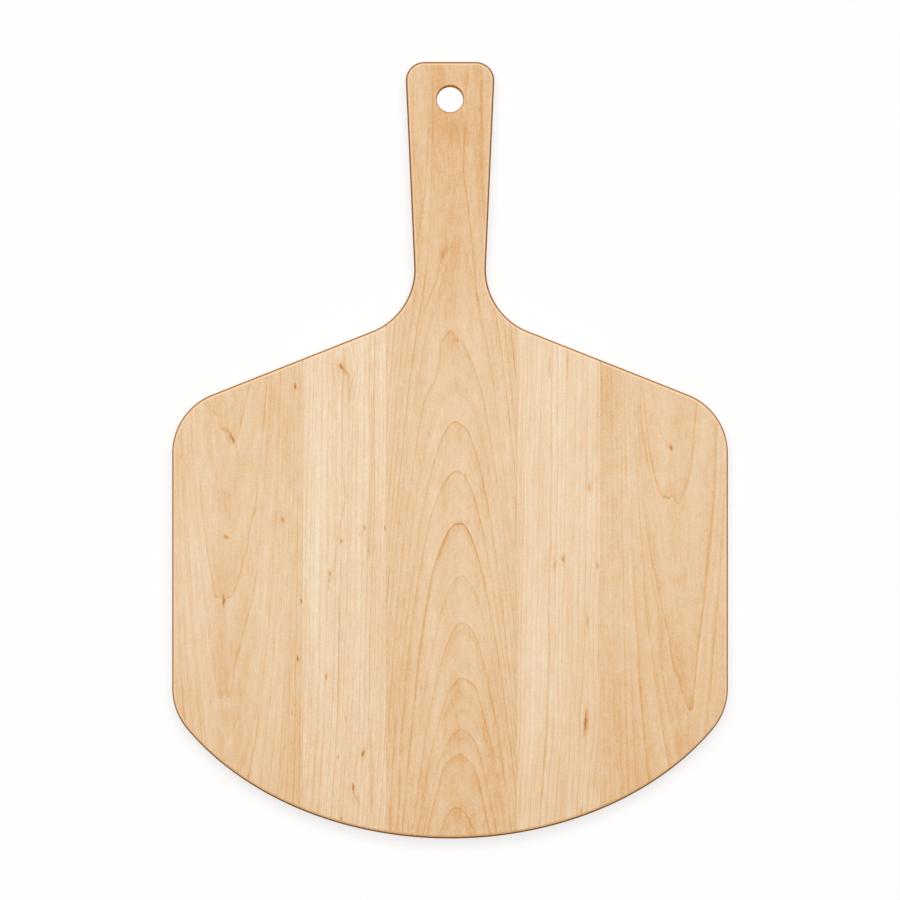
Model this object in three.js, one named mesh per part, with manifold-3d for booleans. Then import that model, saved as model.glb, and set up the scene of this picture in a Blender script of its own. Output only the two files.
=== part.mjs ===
// Paddle cutting board: a panel of five staves glued edge to edge, then cut to a paddle outline.
// Millimetres, +Z up. The board lies on its underside at z = 0 with the handle towards +Y.
// The origin is under the middle of the board's overall box. Left and right are as seen from above.

import * as THREE from 'three';
import { mergeVertices, toCreasedNormals } from 'three/addons/utils/BufferGeometryUtils.js';
import Module from 'manifold-3d';

// Whole board
const boardLength = 419.2;
const boardWidth = 300;
const boardThickness = 15;
const edgeRound = 2; // roundover of every edge of the outline, on both faces

// Handle
const handleEndWidth = 48.7; // across the end, before its corners are rounded
const handleCornerRadius = 10;
const gripLength = 110; // from the handle end to the neck
const neckWidth = 38.8;
const neckRadius = 36; // hollow curve from the neck into the shoulder

// Hang hole
const hangHoleDiameter = 14.3;
const hangHoleFromEnd = 20;
const hangHoleRound = 0.9; // roundover of the hole's rims

// Shoulders
const shoulderFall = 21.6; // degrees that the shoulders fall towards the sides
const shoulderDrop = 188.1; // from the handle end to where the shoulder line meets the side line
const shoulderRadius = 34;

// Front edge, part of an ellipse that would reach a little past both sides
const frontDepth = 127; // half the ellipse's length along the board
const frontOverrun = 18; // how far the ellipse would reach past each side
const frontCornerRadius = 34;

// Staves and the glue between them. The outer staves are as wide as the outline leaves them.
const centreStaveWidth = 70.4; // from the middle of one glue line to the middle of the next
const innerStaveWidth = 45.1;
const panelShift = 0.7; // the middle of the glued panel lies this far right of the outline's
const glueThickness = 0.15;
const bondGap = 0.02; // keeps the faces of the glue and the staves from crossing
const blankMargin = 10; // how far the glued blank reaches past the outline before it is cut

// Finish
const woodRoughness = 0.55;
const glueColour = '#d9b98c';
const glueRoughness = 0.4;

// Fineness of the round stretches
const halfArcSegments = 16; // each arc of the outline gets twice as many
const roundSegments = 3;
const holeSegments = 48;
const creaseAngle = THREE.MathUtils.degToRad(35);

const wasm = await Module();
wasm.setup();

// Turns a closed geometry into a solid that can be cut, without the flat triangles at a lathe's poles
function toSolid(geometry) {
  const bare = geometry.clone();
  bare.deleteAttribute('normal');
  bare.deleteAttribute('uv');
  const merged = mergeVertices(bare);
  const corners = [];
  for (let i = 0; i < merged.index.count; i += 3) {
    const [a, b, c] = merged.index.array.slice(i, i + 3);
    if (a !== b && b !== c && c !== a) {
      corners.push(a, b, c);
    }
  }
  const mesh = new wasm.Mesh({
    numProp: 3,
    vertProperties: merged.attributes.position.array,
    triVerts: new Uint32Array(corners),
  });
  return new wasm.Manifold(mesh);
}

// Turns a cut solid back into a geometry that is smooth over the roundovers and sharp at the faces
function toGeometry(solid) {
  const mesh = solid.getMesh();
  const geometry = new THREE.BufferGeometry();
  geometry.setAttribute('position', new THREE.BufferAttribute(mesh.vertProperties, 3));
  geometry.setIndex(new THREE.BufferAttribute(mesh.triVerts, 1));
  return toCreasedNormals(geometry, creaseAngle);
}

// Adds the arc that rounds one corner between two straight edges, after a line to its start
function addRoundedCorner(path, before, corner, after, radius) {
  const arriving = corner.clone().sub(before).normalize();
  const leaving = after.clone().sub(corner).normalize();
  const turn = Math.atan2(arriving.cross(leaving), arriving.dot(leaving));
  const turnsLeft = turn > 0;
  const quarterTurn = turnsLeft ? Math.PI / 2 : -Math.PI / 2;
  const start = corner.clone().addScaledVector(arriving, -radius * Math.tan(Math.abs(turn) / 2));
  const startAngle = arriving.angle() - quarterTurn;
  const spoke = new THREE.Vector2(Math.cos(startAngle), Math.sin(startAngle));
  const centre = start.clone().addScaledVector(spoke, -radius);
  path.absarc(centre.x, centre.y, radius, startAngle, startAngle + turn, !turnsLeft);
}

// Finds where the corner arc touches the front ellipse: the angle on the ellipse,
// the direction square to it there, and the height of the arc's centre
function frontCorner(halfWidth, ellipseHalfWidth, ellipseCentreY) {
  const arcCentreX = halfWidth - frontCornerRadius;
  const touch = (angle) => {
    const normal = new THREE.Vector2(Math.cos(angle) / ellipseHalfWidth, Math.sin(angle) / frontDepth);
    normal.normalize();
    const x = ellipseHalfWidth * Math.cos(angle) - frontCornerRadius * normal.x;
    const y = ellipseCentreY + frontDepth * Math.sin(angle) - frontCornerRadius * normal.y;
    return { x, y, direction: Math.atan2(normal.y, normal.x) };
  };
  const halvings = 50;
  let inside = -Math.PI / 2;
  let outside = 0;
  for (let i = 0; i < halvings; i += 1) {
    const middle = (inside + outside) / 2;
    if (touch(middle).x < arcCentreX) {
      inside = middle;
    } else {
      outside = middle;
    }
  }
  const { y, direction } = touch(inside);
  return { arcCentreX, arcCentreY: y, direction, angle: inside };
}

// The paddle outline, clockwise from the middle of the handle end
function paddleOutline() {
  const handleEndY = boardLength / 2;
  const frontY = -boardLength / 2;
  const halfWidth = boardWidth / 2;
  const ellipseHalfWidth = halfWidth + frontOverrun;
  const ellipseCentreY = frontY + frontDepth;
  const front = frontCorner(halfWidth, ellipseHalfWidth, ellipseCentreY);

  // The handle's side line runs on until it meets the shoulder line at the neck corner
  const handleTaper = (handleEndWidth - neckWidth) / 2 / gripLength;
  const shoulderSlope = Math.tan(THREE.MathUtils.degToRad(shoulderFall));
  const handleCorner = new THREE.Vector2(handleEndWidth / 2, handleEndY);
  const shoulderCorner = new THREE.Vector2(halfWidth, handleEndY - shoulderDrop);
  const shoulderLineY = (x) => shoulderCorner.y + (halfWidth - x) * shoulderSlope;
  const neckBelowEnd = (handleEndY - shoulderLineY(handleCorner.x)) / (1 + handleTaper * shoulderSlope);
  const neckX = handleCorner.x - handleTaper * neckBelowEnd;
  const neckCorner = new THREE.Vector2(neckX, shoulderLineY(neckX));

  const endMiddle = new THREE.Vector2(0, handleEndY);
  const sideEnd = new THREE.Vector2(halfWidth, front.arcCentreY);
  const rightSide = [endMiddle, handleCorner, neckCorner, shoulderCorner, sideEnd];
  const leftSide = rightSide.map((point) => new THREE.Vector2(-point.x, point.y)).reverse();
  const radii = [handleCornerRadius, neckRadius, shoulderRadius];

  const outline = new THREE.Shape();
  outline.moveTo(endMiddle.x, endMiddle.y);
  radii.forEach((radius, i) => {
    addRoundedCorner(outline, rightSide[i], rightSide[i + 1], rightSide[i + 2], radius);
  });
  outline.absarc(front.arcCentreX, front.arcCentreY, frontCornerRadius, 0, front.direction, true);
  outline.absellipse(
    0, ellipseCentreY, ellipseHalfWidth, frontDepth, front.angle, -Math.PI - front.angle, true,
  );
  outline.absarc(
    -front.arcCentreX, front.arcCentreY, frontCornerRadius, -Math.PI - front.direction, -Math.PI, true,
  );
  radii.slice().reverse().forEach((radius, i) => {
    addRoundedCorner(outline, leftSide[i], leftSide[i + 1], leftSide[i + 2], radius);
  });
  outline.closePath();
  return outline;
}

// The shape that the drill and the rim cutter leave, a spool turned about the hole's axis
function hangHoleCutter() {
  const bore = hangHoleDiameter / 2;
  const rim = bore + hangHoleRound;
  const profile = new THREE.Path();
  profile.moveTo(0, -blankMargin);
  profile.lineTo(rim, -blankMargin);
  profile.absarc(rim, hangHoleRound, hangHoleRound, -Math.PI / 2, -Math.PI, true);
  profile.absarc(rim, boardThickness - hangHoleRound, hangHoleRound, Math.PI, Math.PI / 2, true);
  profile.lineTo(rim, boardThickness + blankMargin);
  profile.lineTo(0, boardThickness + blankMargin);
  const cutter = new THREE.LatheGeometry(profile.getPoints(roundSegments), holeSegments);
  cutter.rotateX(Math.PI / 2);
  cutter.translate(0, boardLength / 2 - hangHoleFromEnd, 0);
  return cutter;
}

// The whole board as one block, with its outline, roundovers and hang hole
function profiledPanel() {
  const block = new THREE.ExtrudeGeometry(paddleOutline(), {
    depth: boardThickness - 2 * edgeRound,
    bevelThickness: edgeRound,
    bevelSize: edgeRound,
    bevelOffset: -edgeRound,
    bevelSegments: roundSegments,
    curveSegments: halfArcSegments,
  });
  block.translate(0, 0, edgeRound);
  return toSolid(block).subtract(toSolid(hangHoleCutter()));
}

// One strip of the glued blank, between two planes square to X
function blankStrip(fromX, toX) {
  const strip = new THREE.BoxGeometry(
    toX - fromX, boardLength + 2 * blankMargin, boardThickness + 2 * blankMargin,
  );
  strip.translate((fromX + toX) / 2, 0, boardThickness / 2);
  return toSolid(strip);
}

// Glue joints and staves, from left to right
const innerJoint = centreStaveWidth / 2;
const outerJoint = innerJoint + innerStaveWidth;
const glueLines = [
  { name: 'glue_line_outer_left', x: panelShift - outerJoint },
  { name: 'glue_line_inner_left', x: panelShift - innerJoint },
  { name: 'glue_line_inner_right', x: panelShift + innerJoint },
  { name: 'glue_line_outer_right', x: panelShift + outerJoint },
];
const staves = [
  { name: 'outer_stave_left', colour: '#ebc8a0' },
  { name: 'inner_stave_left', colour: '#eed0ab' },
  { name: 'centre_stave', colour: '#e7c49b' },
  { name: 'inner_stave_right', colour: '#edcfaa' },
  { name: 'outer_stave_right', colour: '#e8c49b' },
];

const panel = profiledPanel();
const board = new THREE.Group();
board.name = 'paddle_cutting_board';

function addPiece(name, fromX, toX, colour, roughness) {
  const geometry = toGeometry(panel.intersect(blankStrip(fromX, toX)));
  const material = new THREE.MeshStandardMaterial({ color: colour, roughness, metalness: 0 });
  const piece = new THREE.Mesh(geometry, material);
  piece.name = name;
  board.add(piece);
}

const blankEdge = boardWidth / 2 + blankMargin;
const staveInset = glueThickness / 2 + bondGap;
const jointsAndEdges = [-blankEdge, ...glueLines.map((glue) => glue.x), blankEdge];
staves.forEach(({ name, colour }, i) => {
  addPiece(name, jointsAndEdges[i] + staveInset, jointsAndEdges[i + 1] - staveInset, colour, woodRoughness);
});
glueLines.forEach(({ name, x }) => {
  addPiece(name, x - glueThickness / 2, x + glueThickness / 2, glueColour, glueRoughness);
});

export default board;
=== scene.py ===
import math
import random

import bmesh
import bpy
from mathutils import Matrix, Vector


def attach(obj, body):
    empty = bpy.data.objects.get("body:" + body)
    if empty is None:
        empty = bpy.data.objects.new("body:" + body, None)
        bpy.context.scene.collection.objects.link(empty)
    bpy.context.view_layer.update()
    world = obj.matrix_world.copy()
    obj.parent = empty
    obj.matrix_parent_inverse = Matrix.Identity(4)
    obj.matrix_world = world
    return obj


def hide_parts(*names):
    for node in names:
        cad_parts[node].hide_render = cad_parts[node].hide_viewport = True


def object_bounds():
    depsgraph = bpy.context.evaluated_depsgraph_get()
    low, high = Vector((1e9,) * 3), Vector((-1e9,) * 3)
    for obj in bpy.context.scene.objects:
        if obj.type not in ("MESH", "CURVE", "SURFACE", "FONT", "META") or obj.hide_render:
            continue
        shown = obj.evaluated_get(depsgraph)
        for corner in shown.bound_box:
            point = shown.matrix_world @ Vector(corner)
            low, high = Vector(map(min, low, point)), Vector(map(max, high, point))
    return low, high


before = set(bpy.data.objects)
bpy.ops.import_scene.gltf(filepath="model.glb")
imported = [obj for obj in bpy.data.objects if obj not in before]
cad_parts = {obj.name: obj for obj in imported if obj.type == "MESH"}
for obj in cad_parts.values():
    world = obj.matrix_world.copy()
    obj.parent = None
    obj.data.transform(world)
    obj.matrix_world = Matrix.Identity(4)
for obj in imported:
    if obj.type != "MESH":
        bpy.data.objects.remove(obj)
cadLow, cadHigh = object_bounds()  # the CAD box, before anything is added

mm = 0.001
print("frame loaded:", len(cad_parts), "nodes")


# A socket that works in sums: each operator adds a Math node
class Wire:
    def __init__(self, tree, socket):
        self.tree = tree
        self.socket = socket

    def sum(self, operation, *terms):
        return self.tree.add("ShaderNodeMath", {"operation": operation}, terms)

    def __add__(self, other):
        return self.sum("ADD", self, other)

    def __radd__(self, other):
        return self.sum("ADD", other, self)

    def __sub__(self, other):
        return self.sum("SUBTRACT", self, other)

    def __rsub__(self, other):
        return self.sum("SUBTRACT", other, self)

    def __mul__(self, other):
        return self.sum("MULTIPLY", self, other)

    def __rmul__(self, other):
        return self.sum("MULTIPLY", other, self)

    def __truediv__(self, other):
        return self.sum("DIVIDE", self, other)

    def __rtruediv__(self, other):
        return self.sum("DIVIDE", other, self)

    def __pow__(self, other):
        return self.sum("POWER", self, other)

    def __abs__(self):
        return self.sum("ABSOLUTE", self)

    def least(self, other):
        return self.sum("MINIMUM", self, other)

    def most(self, other):
        return self.sum("MAXIMUM", self, other)

    def root(self):
        return self.sum("SQRT", self)

    def fraction(self):
        return self.sum("FRACT", self)

    def sine(self):
        return self.sum("SINE", self)

    def cosine(self):
        return self.sum("COSINE", self)

    # Goes evenly from 0 at one value to 1 at the other
    def rise(self, low, high):
        settings = {"interpolation_type": "SMOOTHSTEP"}
        values = {"Value": self, "From Min": low, "From Max": high}
        return self.tree.add("ShaderNodeMapRange", settings, values)

    # Another output of the same node
    def also(self, out):
        return Wire(self.tree, self.socket.node.outputs[out])


# A node tree, emptied and filled from Python
class Nodes:
    def __init__(self, tree):
        self.tree = tree
        tree.nodes.clear()

    def add(self, kind, settings=None, values=None, out=0):
        node = self.tree.nodes.new(kind)
        for name, value in (settings or {}).items():
            if name == "stops":
                self.setStops(node.color_ramp, value)
            else:
                setattr(node, name, value)
        values = values or {}
        for key, value in values.items() if isinstance(values, dict) else enumerate(values):
            self.plug(node.inputs[key], value)
        return Wire(self, node.outputs[out]) if len(node.outputs) else node

    def plug(self, socket, value):
        for wire in value if isinstance(value, list) else [value]:  # a list joins several links
            if isinstance(wire, Wire):
                self.tree.links.new(wire.socket, socket)
            else:
                socket.default_value = wire

    def setStops(self, ramp, stops):
        while len(ramp.elements) > 1:
            ramp.elements.remove(ramp.elements[-1])
        for i, (place, colour) in enumerate(stops):
            stop = ramp.elements[0] if i == 0 else ramp.elements.new(place)
            stop.position = place
            stop.color = colour

    def vector(self, x, y, z):
        return self.add("ShaderNodeCombineXYZ", {}, [x, y, z])

    def attribute(self, name):
        return self.add("ShaderNodeAttribute", {"attribute_name": name}, {}, "Fac")

    def blend(self, factor, first, second, kind="MIX"):
        settings = {"data_type": "RGBA", "blend_type": kind}
        return self.add("ShaderNodeMix", settings, {0: factor, 6: first, 7: second}, 2)


# Colour as a picture editor shows it, 0 to 255, made linear
def paint(red, green, blue):
    parts = [part / 255 for part in (red, green, blue)]
    linear = [c / 12.92 if c <= 0.04045 else ((c + 0.055) / 1.055) ** 2.4 for c in parts]
    return (*linear, 1)


# View: straight down on the work face, as the photograph
view = {
    "imageSide": 900,  # pixels
    "pixelSize": 0.5395,  # mm on the work face
    "middleX": 450.06,  # pixel column of the board's middle
    "handleEndRow": 61.74,  # pixel row of the handle end
    "distance": 3000,  # mm above the work face
    "sensor": 36,  # mm
}
boardLength = (cadHigh.y - cadLow.y) / mm
boardWidth = (cadHigh.x - cadLow.x) / mm
boardThickness = (cadHigh.z - cadLow.z) / mm


# Place on the work face, in mm, of a pixel of the photograph
def boardX(column):
    return (column - view["middleX"]) * view["pixelSize"]


def boardY(row):
    return boardLength / 2 - (row - view["handleEndRow"]) * view["pixelSize"]


def makeCamera():
    data = bpy.data.cameras.new("photoCamera")
    data.sensor_width = view["sensor"]
    data.lens = view["sensor"] * view["distance"] / (view["imageSide"] * view["pixelSize"])
    camera = bpy.data.objects.new("photoCamera", data)
    middle = view["imageSide"] / 2
    place = (boardX(middle), boardY(middle), boardThickness + view["distance"])
    camera.location = Vector(place) * mm
    bpy.context.collection.objects.link(camera)
    bpy.context.scene.camera = camera


# Studio: pale floor, one large soft lamp beyond the handle end, even light from all round
studio = {
    "floorSide": 16,  # metres, as are all sizes here
    "floorDrop": 0.0002,  # keeps the floor from sharing the underside's plane
    "floorColour": (1, 1, 1, 1),
    "shadowShare": 0.31,  # how much of the floor's brightness its shadows can take away
    "lightSpot": (0, 0.1896, 0),  # the floor under the hang hole stays white
    "lightSpotEdge": (0.009, 0.0108),  # where the white spot ends and the full shadow begins
    "lampPlace": (0, 2.2, 9.24),
    "lampSide": 6.8,
    "lampPower": 817,  # watts
    "skyColour": (1, 1, 1, 1),
    "skyStrength": 0.2,
}


# 1 for what the camera sees, straight on or in a gloss, and 0 for light that falls on the object
def seenDirectly(nodes):
    path = nodes.add("ShaderNodeLightPath", out="Is Camera Ray")
    return path.most(path.also("Is Glossy Ray")).most(path.also("Is Transmission Ray"))


# Floor that looks white and takes only part of its shadow
def makeFloor():
    reach = studio["floorSide"] / 2
    z = -studio["floorDrop"]
    corners = [(-reach, -reach, z), (reach, -reach, z), (reach, reach, z), (-reach, reach, z)]
    mesh = bpy.data.meshes.new("floor")
    mesh.from_pydata(corners, [], [(0, 1, 2, 3)])
    floor = bpy.data.objects.new("floor", mesh)
    bpy.context.collection.objects.link(floor)

    material = bpy.data.materials.new("paleFloor")
    material.use_nodes = True
    nodes = Nodes(material.node_tree)
    paper = nodes.add("ShaderNodeBsdfDiffuse", {}, {"Color": studio["floorColour"]})
    white = nodes.add("ShaderNodeEmission")
    place = nodes.add("ShaderNodeTexCoord", out="Object")
    settings = {"operation": "DISTANCE"}
    fromSpot = nodes.add("ShaderNodeVectorMath", settings, [place, studio["lightSpot"]], "Value")
    shadow = fromSpot.rise(*studio["lightSpotEdge"]) * studio["shadowShare"]
    share = seenDirectly(nodes) * (1 - shadow)
    floorMix = nodes.add("ShaderNodeMixShader", {}, [share, paper, white])
    nodes.add("ShaderNodeOutputMaterial", {}, {"Surface": floorMix})
    mesh.materials.append(material)


# Sky that looks white and gives only a little light
def makeSky():
    world = bpy.data.worlds.new("studioWorld")
    world.use_nodes = True
    nodes = Nodes(world.node_tree)
    seen = seenDirectly(nodes)
    strength = studio["skyStrength"] + seen * (1 - studio["skyStrength"])
    values = {"Color": studio["skyColour"], "Strength": strength}
    sky = nodes.add("ShaderNodeBackground", {}, values)
    nodes.add("ShaderNodeOutputWorld", {}, {"Surface": sky})
    bpy.context.scene.world = world


def makeLamp():
    data = bpy.data.lights.new("softLamp", "AREA")
    data.shape = "SQUARE"
    data.size = studio["lampSide"]
    data.energy = studio["lampPower"]
    lamp = bpy.data.objects.new("softLamp", data)
    lamp.location = studio["lampPlace"]
    lamp.rotation_euler = (-lamp.location).to_track_quat("-Z", "Y").to_euler()
    bpy.context.collection.objects.link(lamp)


bpy.context.scene.view_settings.view_transform = "Standard"
makeCamera()
makeFloor()
makeSky()
makeLamp()
print("camera, floor and light made")


# Panel: the whole glued board before it is parted into staves, mm
panel = {
    "pathStep": 1.2,  # spacing of points along the outline
    "edgeRound": 2,
    "roundSteps": 8,
    "rimFlat": 0.4,  # flat ring between the roundover and the face
    "handleEndWidth": 48.7,
    "handleCornerRadius": 10,
    "gripLength": 110,
    "neckWidth": 38.8,
    "neckRadius": 36,
    "holeDiameter": 14.3,
    "holeFromEnd": 20,
    "holeRound": 0.9,
    "holePoints": 96,
    "shoulderFall": 21.6,  # degrees
    "shoulderDrop": 188.1,
    "shoulderRadius": 34,
    "frontDepth": 127,  # half the front ellipse's length along the board
    "frontOverrun": 18,  # how far the ellipse would reach past each side
    "frontCornerRadius": 34,
    "halvings": 50,  # tries at the place where the front corner meets the ellipse
    "merge": 0.005,  # points closer than this become one
    "cutReach": 0.0001,  # points this near a cut lie on it
    "flatFrom": 0.99999,  # faces this square to an axis are shaded flat
}


def arcPoints(centreX, centreY, radiusX, radiusY, start, end):
    length = abs(end - start) * max(radiusX, radiusY)
    count = max(2, math.ceil(length / panel["pathStep"]))
    points = []
    for i in range(count + 1):
        angle = start + (end - start) * i / count
        x = centreX + radiusX * math.cos(angle)
        y = centreY + radiusY * math.sin(angle)
        points.append(Vector((x, y)))
    return points


# The arc that rounds a corner between two straight edges
def cornerPoints(before, corner, after, radius):
    arriving = (corner - before).normalized()
    leaving = (after - corner).normalized()
    turn = math.atan2(arriving.x * leaving.y - arriving.y * leaving.x, arriving.dot(leaving))
    start = corner - arriving * radius * math.tan(abs(turn) / 2)
    side = 1 if turn > 0 else -1
    startAngle = math.atan2(arriving.y, arriving.x) - side * math.pi / 2
    centre = start - Vector((math.cos(startAngle), math.sin(startAngle))) * radius
    return arcPoints(centre.x, centre.y, radius, radius, startAngle, startAngle + turn)


# Where the rounded front corner meets the front ellipse: the arc's centre,
# the direction square to the ellipse there and the angle on the ellipse
def frontCorner(halfWide, ellipseY):
    wide = halfWide + panel["frontOverrun"]
    deep = panel["frontDepth"]
    radius = panel["frontCornerRadius"]
    inside = -math.pi / 2
    outside = 0
    for halving in range(panel["halvings"]):
        angle = (inside + outside) / 2
        square = Vector((math.cos(angle) / wide, math.sin(angle) / deep)).normalized()
        onEllipse = Vector((wide * math.cos(angle), ellipseY + deep * math.sin(angle)))
        centre = onEllipse - square * radius
        if centre.x < halfWide - radius:
            inside = angle
        else:
            outside = angle
    return centre, math.atan2(square.y, square.x), angle


# Right half of the outline from the handle end to the middle of the front, then its mirror
def outlinePoints():
    endY = boardLength / 2
    halfWide = boardWidth / 2
    ellipseY = panel["frontDepth"] - endY
    taper = (panel["handleEndWidth"] - panel["neckWidth"]) / 2 / panel["gripLength"]
    slope = math.tan(math.radians(panel["shoulderFall"]))
    handleX = panel["handleEndWidth"] / 2
    shoulder = Vector((halfWide, endY - panel["shoulderDrop"]))
    drop = (endY - shoulder.y - (halfWide - handleX) * slope) / (1 + taper * slope)
    neckX = handleX - taper * drop
    neck = Vector((neckX, shoulder.y + (halfWide - neckX) * slope))
    centre, square, angle = frontCorner(halfWide, ellipseY)

    endMiddle = Vector((0, endY))
    handleCorner = Vector((handleX, endY))
    sideEnd = Vector((halfWide, centre.y))
    stations = [endMiddle, handleCorner, neck, shoulder, sideEnd]
    radii = [panel["handleCornerRadius"], panel["neckRadius"], panel["shoulderRadius"]]
    right = [endMiddle]
    for i, radius in enumerate(radii):
        right += cornerPoints(*stations[i:i + 3], radius)
    radius = panel["frontCornerRadius"]
    right += arcPoints(centre.x, centre.y, radius, radius, 0, square)
    frontWide = halfWide + panel["frontOverrun"]
    right += arcPoints(0, ellipseY, frontWide, panel["frontDepth"], angle, -math.pi / 2)[1:]
    left = [Vector((-point.x, point.y)) for point in reversed(right[1:-1])]
    clockwise = right + left

    points = []  # straight stretches get points too, so that no face is long and thin
    for here, there in zip(clockwise, clockwise[1:] + clockwise[:1]):
        count = max(1, round((there - here).length / panel["pathStep"]))
        points += [here.lerp(there, i / count) for i in range(count)]
    points.reverse()
    return points


def holePoints():
    middle = Vector((0, boardLength / 2 - panel["holeFromEnd"]))
    points = []
    for i in range(panel["holePoints"]):
        angle = 2 * math.pi * i / panel["holePoints"]
        spoke = Vector((math.cos(angle), math.sin(angle))) * panel["holeDiameter"] / 2
        points.append(middle + spoke)
    return points


def makeLoop(name, points):
    count = len(points)
    corners = [(point.x * mm, point.y * mm, 0) for point in points]
    edges = [(i, (i + 1) % count) for i in range(count)]
    mesh = bpy.data.meshes.new(name)
    mesh.from_pydata(corners, edges, [])
    loop = bpy.data.objects.new(name, mesh)
    bpy.context.collection.objects.link(loop)
    return loop


# Keeps a number on each point for the materials to read
def storeValue(nodes, geometry, name, value):
    settings = {"data_type": "FLOAT", "domain": "POINT"}
    values = {"Geometry": geometry, "Name": name, "Value": value}
    return nodes.add("GeometryNodeStoreNamedAttribute", settings, values)


# Rounded edge swept round a loop, and the loop where the flat faces begin
def sweepEdge(nodes, loop, sizes, outward):
    steps, thick, radius, rim = sizes
    path = nodes.add("GeometryNodeMeshToCurve", {}, [loop])
    path = nodes.add("GeometryNodeSetCurveNormal", {"mode": "Z_UP"}, {"Curve": path})
    along = nodes.add("GeometryNodeInputTangent")
    alongX = nodes.add("ShaderNodeSeparateXYZ", {}, [along])
    path = storeValue(nodes, path, "acrossGrain", alongX)

    # Profile: flat rim, roundover, wall, roundover, flat rim
    count = steps * 2 + 4
    line = nodes.add("GeometryNodeMeshLine", {}, {"Count": count})
    index = nodes.add("GeometryNodeInputIndex")
    fromEnd = index.least(count - 1 - index)
    turn = ((fromEnd - 1) / steps).most(0) * (math.pi / 2)
    inset = radius * (1 - turn.sine()) + (1 - fromEnd).most(0) * rim
    drop = radius * (1 - turn.cosine())
    settings = {"data_type": "FLOAT", "operation": "GREATER_THAN"}
    low = nodes.add("FunctionNodeCompare", settings, [index, count / 2 - 0.5])
    heights = {"Switch": low, "False": thick - drop, "True": drop}
    height = nodes.add("GeometryNodeSwitch", {"input_type": "FLOAT"}, heights)
    profilePlace = nodes.vector(inset * -outward, height * -1, 0)
    line = nodes.add("GeometryNodeSetPosition", {}, {"Geometry": line, "Position": profilePlace})
    line = storeValue(nodes, line, "edgeSlope", turn.sine())
    profile = nodes.add("GeometryNodeMeshToCurve", {}, [line])
    band = nodes.add("GeometryNodeCurveToMesh", {}, {"Curve": path, "Profile Curve": profile})

    aside = nodes.add("ShaderNodeVectorMath", {"operation": "CROSS_PRODUCT"}, [along, (0, 0, 1)])
    inward = {0: aside, "Scale": (radius + rim) * -outward}
    away = nodes.add("ShaderNodeVectorMath", {"operation": "SCALE"}, inward)
    flat = nodes.add("GeometryNodeSetPosition", {}, {"Geometry": path, "Offset": away})
    return band, flat


def makePanelMesh():
    holeLoop = makeLoop("holeLoop", holePoints())
    outline = makeLoop("paddleOutline", outlinePoints())
    tree = bpy.data.node_groups.new("paddlePanel", "GeometryNodeTree")
    nodes = Nodes(tree)
    tree.interface.new_socket("Outline", in_out="INPUT", socket_type="NodeSocketGeometry")
    tree.interface.new_socket("Panel", in_out="OUTPUT", socket_type="NodeSocketGeometry")
    inputs = {
        "Hang Hole": ("NodeSocketObject", holeLoop),
        "Thickness": ("NodeSocketFloat", boardThickness * mm),
        "Edge Round": ("NodeSocketFloat", panel["edgeRound"] * mm),
        "Hole Round": ("NodeSocketFloat", panel["holeRound"] * mm),
        "Rim Flat": ("NodeSocketFloat", panel["rimFlat"] * mm),
        "Round Steps": ("NodeSocketInt", panel["roundSteps"]),
        "Wood": ("NodeSocketMaterial", bpy.data.materials.new("panelBlank")),
    }
    sockets = {}
    for name, (kind, value) in inputs.items():
        sockets[name] = tree.interface.new_socket(name, in_out="INPUT", socket_type=kind)
    given = nodes.add("NodeGroupInput")
    size = {name: given.also(name) for name in inputs}

    hole = nodes.add("GeometryNodeObjectInfo", {}, {"Object": size["Hang Hole"]}, "Geometry")
    edge = (size["Round Steps"], size["Thickness"], size["Edge Round"], size["Rim Flat"])
    bore = (size["Round Steps"], size["Thickness"], size["Hole Round"], size["Rim Flat"])
    edgeBand, edgeFlat = sweepEdge(nodes, given.also("Outline"), edge, 1)
    boreBand, boreFlat = sweepEdge(nodes, hole, bore, -1)
    boreBand = storeValue(nodes, boreBand, "boreWall", 1)
    rims = nodes.add("GeometryNodeJoinGeometry", {}, {0: [edgeFlat, boreFlat]})
    underside = nodes.add("GeometryNodeFillCurve", {"mode": "TRIANGLES"}, {"Curve": rims})
    lift = nodes.vector(0, 0, size["Thickness"])
    workFace = nodes.add("GeometryNodeSetPosition", {}, {"Geometry": underside, "Offset": lift})
    whole = nodes.add("GeometryNodeJoinGeometry", {}, {0: [edgeBand, boreBand, underside, workFace]})
    merge = {"Geometry": whole, "Distance": panel["merge"] * mm}
    whole = nodes.add("GeometryNodeMergeByDistance", {}, merge)
    whole = nodes.add("GeometryNodeRealizeInstances", {}, {"Geometry": whole})
    whole = nodes.add("GeometryNodeSetMaterial", {}, {"Geometry": whole, "Material": size["Wood"]})
    nodes.add("NodeGroupOutput", {}, {"Panel": whole})

    modifier = outline.modifiers.new("panel", "NODES")
    modifier.node_group = tree
    for name, (kind, value) in inputs.items():
        modifier[sockets[name].identifier] = value
    finished = outline.evaluated_get(bpy.context.evaluated_depsgraph_get())
    mesh = bpy.data.meshes.new_from_object(finished)
    outline.modifiers.clear()
    for loop in (holeLoop, outline):
        bpy.data.objects.remove(loop)
    return mesh


panelMesh = makePanelMesh()
print("panel swept:", len(panelMesh.polygons), "faces")


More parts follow.
